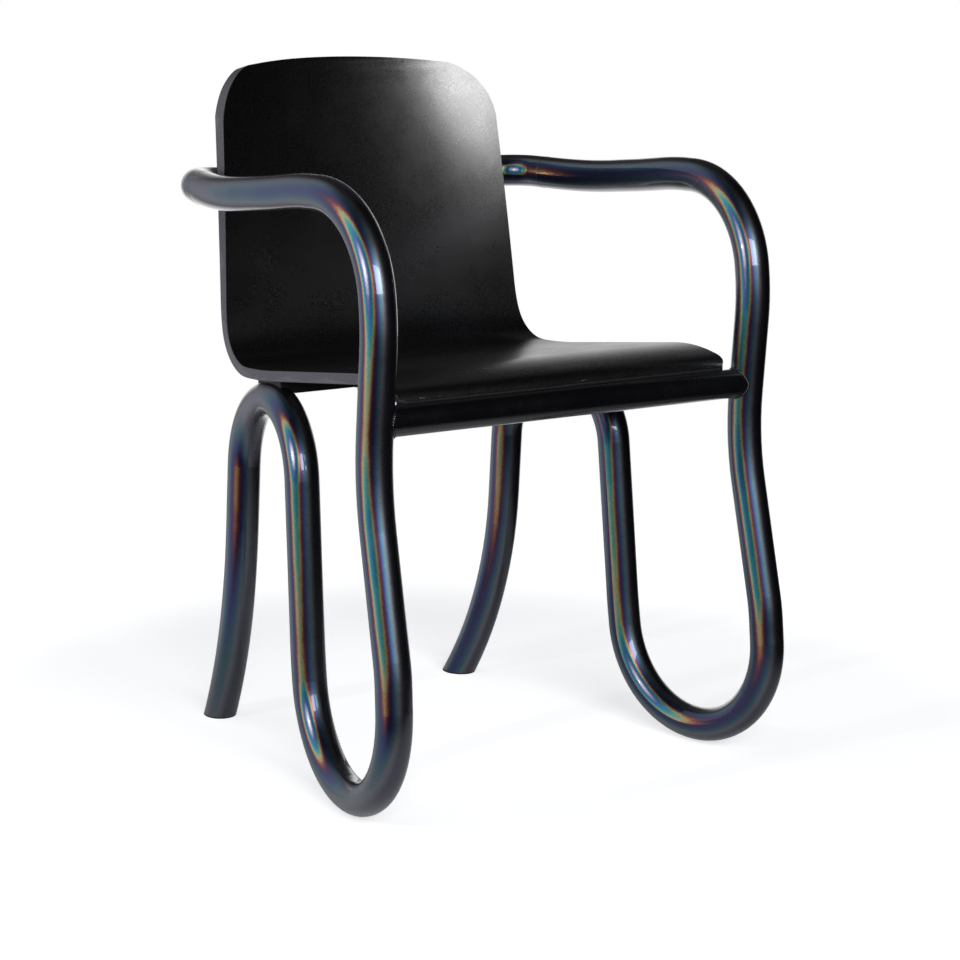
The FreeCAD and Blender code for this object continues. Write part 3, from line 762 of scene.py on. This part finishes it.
class ARMCHAIR_OT_tubes(bpy.types.Operator):
    """Paints the bent tubes and the hoop, with the fine seams of their joints"""

    bl_idname = "armchair.tubes"
    bl_label = "Tubes"

    def execute(self, context):
        dress(["side_tube_right", "side_tube_left", "back_hoop"], tube_material())
        dress(
            ["joint_sleeve_right", "joint_sleeve_left"],
            metal_material("Bare Steel", (0.5, 0.5, 0.5), 0.35),
        )

        def seams(shape):
            for row in rim_rows("back_hoop"):
                bead(shape, row, SEAM_RADIUS, SEAM_PITCH, SEAM_RIPPLE)

        new_piece("joint_seams", tube_material(), seams)
        return {"FINISHED"}


class ARMCHAIR_OT_brackets(bpy.types.Operator):
    """Paints the rail, its tabs, the crossbar and the pads, and adds the welds and the strip"""

    bl_idname = "armchair.brackets"
    bl_label = "Rail and Brackets"

    def execute(self, context):
        dress(["front_rail"], rail_material())
        dress(["rail_tab_right", "rail_tab_left", "rear_crossbar"], bracket_material())
        dress(
            ["arch_pad_right", "arch_pad_left"],
            rubber_material("Pad Rubber", (0.012, 0.012, 0.013), 0.5, 1200.0),
        )
        dress(
            ["foot_plug_right", "foot_plug_left"],
            rubber_material("Foot Plastic", (0.015, 0.015, 0.016), 0.4, 900.0),
        )

        def welds(shape):
            for row in rim_rows("front_rail"):
                bead(shape, row, WELD_RADIUS, WELD_PITCH, WELD_RIPPLE)

        new_piece("rail_welds", rail_material(), welds)
        strip = rubber_material("Strip Rubber", (0.008, 0.008, 0.009), 0.55, 1200.0)
        new_piece("lip_strip", strip, lip_strip)
        return {"FINISHED"}


class ARMCHAIR_OT_shell(bpy.types.Operator):
    """Finishes the moulded shell's faces, core and edge"""

    bl_idname = "armchair.shell"
    bl_label = "Shell"

    def execute(self, context):
        dress(["shell_face_laminate"], laminate_material("Face Laminate", 0.0))
        dress(["shell_rear_laminate"], laminate_material("Rear Laminate", 0.04))
        dress(["shell_core"], ply_material())
        new_piece("ply_edge", ply_edge_material(), ply_band)
        return {"FINISHED"}


class ARMCHAIR_OT_fasteners(bpy.types.Operator):
    """Finishes the screws, washers and inserts"""

    bl_idname = "armchair.fasteners"
    bl_label = "Fasteners"

    def execute(self, context):
        places = ("front_seat", "rear_seat", "back")
        black = metal_material("Screw Steel", (0.09, 0.09, 0.10), 0.3)
        dress([f"{place}_screws" for place in places], black)
        dress([f"{place}_washers" for place in places], black)
        dress(
            [f"{place}_inserts" for place in places],
            metal_material("Insert Brass", (0.62, 0.45, 0.17), 0.3),
        )
        return {"FINISHED"}


# Stage


SMALL_LAMP_SIZE, SMALL_LAMP_POWER = (0.07, 0.07), 6.0
SOFTBOX_PLACE = (-1.15, -3.82, 2.00)
SOFTBOX_SIZE, SOFTBOX_POWER = (2.5, 1.5), 130.0
LAMP_AIM = (0.0, 0.0, 0.4)


def light_panel(name, place, size, power):
    """A soft rectangular lamp that faces the chair."""
    data = bpy.data.lights.new(name, "AREA")
    data.shape = "RECTANGLE"
    data.size, data.size_y = size
    data.energy = power
    lamp = bpy.data.objects.new(name, data)
    lamp.location = place
    aim = Vector(LAMP_AIM) - Vector(place)
    lamp.rotation_euler = aim.to_track_quat("-Z", "Y").to_euler()
    bpy.context.scene.collection.objects.link(lamp)


# Shares of the floor's radius, each with the value there.
FLOOR_FADE = ((0.0, grey(0.0)), (0.34, grey(0.0)), (0.80, grey(1.0)))
FLOOR_FADE_IN_GLOSS = ((0.0, grey(0.0)), (0.20, grey(0.0)), (0.40, grey(1.0)))
FLOOR_LIFT = ((0.0, grey(0.66)), (0.30, grey(0.66)), (0.55, grey(1.0)))


def floor_material(radius):
    """Matt white floor, white to the camera where nothing shades it, that ends in the room."""
    material = bpy.data.materials.new("Floor White")
    material.use_nodes = True
    material.node_tree.nodes.clear()
    tree = Tree(material.node_tree)
    place = tree.node("ShaderNodeTexCoord").outputs["Object"]
    away = tree.maths("DIVIDE", tree.vector("LENGTH", place, output=1), radius)
    edge = tree.ramp(away, FLOOR_FADE, "EASE")
    near = tree.ramp(away, FLOOR_FADE_IN_GLOSS, "EASE")
    matt = tree.node("ShaderNodeBsdfDiffuse", {"Color": (0.80, 0.82, 0.84, 1.0)})
    path = tree.node("ShaderNodeLightPath").outputs
    edge = tree.maths("MAXIMUM", edge, tree.maths("MULTIPLY", path["Is Glossy Ray"], near))
    lift = tree.node("ShaderNodeEmission", {"Color": (1.0, 1.0, 1.0, 1.0)})
    pale = tree.ramp(away, FLOOR_LIFT, "EASE")
    tree.feed(lift, "Strength", tree.maths("MULTIPLY", path["Is Camera Ray"], pale))
    both = tree.node("ShaderNodeAddShader", {0: matt.outputs[0], 1: lift.outputs[0]})
    clear = tree.node("ShaderNodeBsdfTransparent")
    faded = tree.node("ShaderNodeMixShader", {0: edge, 1: both.outputs[0], 2: clear.outputs[0]})
    tree.feed(tree.node("ShaderNodeOutputMaterial"), "Surface", faded.outputs[0])
    return material


LEFT_WALL = (-0.766, 0.643, 0.0)
REAR_WALL = (0.574, 0.819, 0.0)


def studio_world():
    """White to the camera; around the chair a bright left wall, a low rear wall and dark flags."""
    world = bpy.data.worlds.new("Studio")
    bpy.context.scene.world = world
    world.use_nodes = True
    world.node_tree.nodes.clear()
    tree = Tree(world.node_tree)
    way = tree.node("ShaderNodeTexCoord").outputs["Generated"]
    level = tree.vector("NORMALIZE", tree.vector("MULTIPLY", way, (1.0, 1.0, 0.0)))
    height = tree.node("ShaderNodeSeparateXYZ", {0: way}).outputs[2]
    left = tree.ramp(
        tree.vector("DOT_PRODUCT", level, LEFT_WALL, output=1),
        (
            (0.0, grey(0.006)),
            (0.52, grey(0.008)),
            (0.70, (0.26, 0.27, 0.31)),
            (0.84, (0.52, 0.53, 0.58)),
            (1.0, (0.66, 0.68, 0.74)),
        ),
    )
    left_top = tree.ramp(height, ((0.0, grey(1.0)), (0.70, grey(1.0)), (0.95, grey(0.1))))
    rear = tree.ramp(
        tree.vector("DOT_PRODUCT", level, REAR_WALL, output=1),
        ((0.0, grey(0.0)), (0.78, grey(0.0)), (0.92, grey(1.0)), (1.0, grey(1.2))),
    )
    rear_top = tree.ramp(
        height, ((0.0, grey(1.0)), (0.14, grey(1.0)), (0.25, grey(0.6)), (0.36, grey(0.04)))
    )
    room = tree.mix(
        1.0,
        tree.mix(1.0, left, left_top, "MULTIPLY"),
        tree.mix(1.0, rear, rear_top, "MULTIPLY"),
        "LIGHTEN",
    )
    path = tree.node("ShaderNodeLightPath")
    seen = tree.node("ShaderNodeBackground", {"Color": (1.0, 1.0, 1.0, 1.0), "Strength": 1.0})
    around = tree.node("ShaderNodeBackground", {"Color": room, "Strength": 1.0})
    final = tree.node(
        "ShaderNodeMixShader",
        {0: path.outputs["Is Camera Ray"], 1: around.outputs[0], 2: seen.outputs[0]},
    )
    tree.feed(tree.node("ShaderNodeOutputWorld"), "Surface", final.outputs[0])


class ARMCHAIR_OT_stage(bpy.types.Operator):
    """Sets the floor, the lights, the world and the camera"""

    bl_idname = "armchair.stage"
    bl_label = "Stage"

    def execute(self, context):
        stage = context.scene.armchair_stage
        mesh = bpy.data.meshes.new("floor")
        shape = bmesh.new()
        bmesh.ops.create_circle(shape, cap_ends=True, segments=96, radius=stage.floor_radius)
        shape.to_mesh(mesh)
        shape.free()
        mesh.materials.append(floor_material(stage.floor_radius))
        floor = bpy.data.objects.new("floor", mesh)
        context.scene.collection.objects.link(floor)
        studio_world()
        light_panel("small_lamp", stage.shine_place, SMALL_LAMP_SIZE, SMALL_LAMP_POWER)
        light_panel("softbox", SOFTBOX_PLACE, SOFTBOX_SIZE, SOFTBOX_POWER)
        data = bpy.data.cameras.new("camera")
        data.sensor_width = 36.0
        data.lens = stage.lens
        data.clip_start, data.clip_end = 0.05, 100.0
        camera = bpy.data.objects.new("camera", data)
        yaw, pitch = stage.camera_yaw, stage.camera_pitch
        look = Vector(
            (
                math.sin(yaw) * math.cos(pitch),
                math.cos(yaw) * math.cos(pitch),
                -math.sin(pitch),
            )
        )
        camera.location = stage.camera_place
        camera.rotation_euler = look.to_track_quat("-Z", "Y").to_euler()
        context.scene.collection.objects.link(camera)
        context.scene.camera = camera
        context.scene.view_settings.view_transform = "Standard"
        return {"FINISHED"}


# Panel and registration


class ARMCHAIR_PT_panel(bpy.types.Panel):
    """Lists the chair's steps and settings"""

    bl_label = "Armchair"
    bl_idname = "ARMCHAIR_PT_panel"
    bl_space_type = "VIEW_3D"
    bl_region_type = "UI"
    bl_category = "Armchair"

    def draw(self, context):
        for settings in (context.scene.armchair_finish, context.scene.armchair_stage):
            box = self.layout.box()
            for key in settings.__annotations__:
                box.prop(settings, key)
        for step in STEPS:
            self.layout.operator(step.bl_idname)


STEPS = (
    ARMCHAIR_OT_tubes,
    ARMCHAIR_OT_brackets,
    ARMCHAIR_OT_shell,
    ARMCHAIR_OT_fasteners,
    ARMCHAIR_OT_stage,
)
CLASSES = (ArmchairFinish, ArmchairStage, *STEPS, ARMCHAIR_PT_panel)


def register():
    for part in CLASSES:
        bpy.utils.register_class(part)
    bpy.types.Scene.armchair_finish = PointerProperty(type=ArmchairFinish)
    bpy.types.Scene.armchair_stage = PointerProperty(type=ArmchairStage)


def unregister():
    del bpy.types.Scene.armchair_stage
    del bpy.types.Scene.armchair_finish
    for part in reversed(CLASSES):
        bpy.utils.unregister_class(part)


def main():
    register()
    for step in STEPS:
        getattr(bpy.ops.armchair, step.bl_idname.split(".")[1])()


if __name__ == "__main__":
    main()
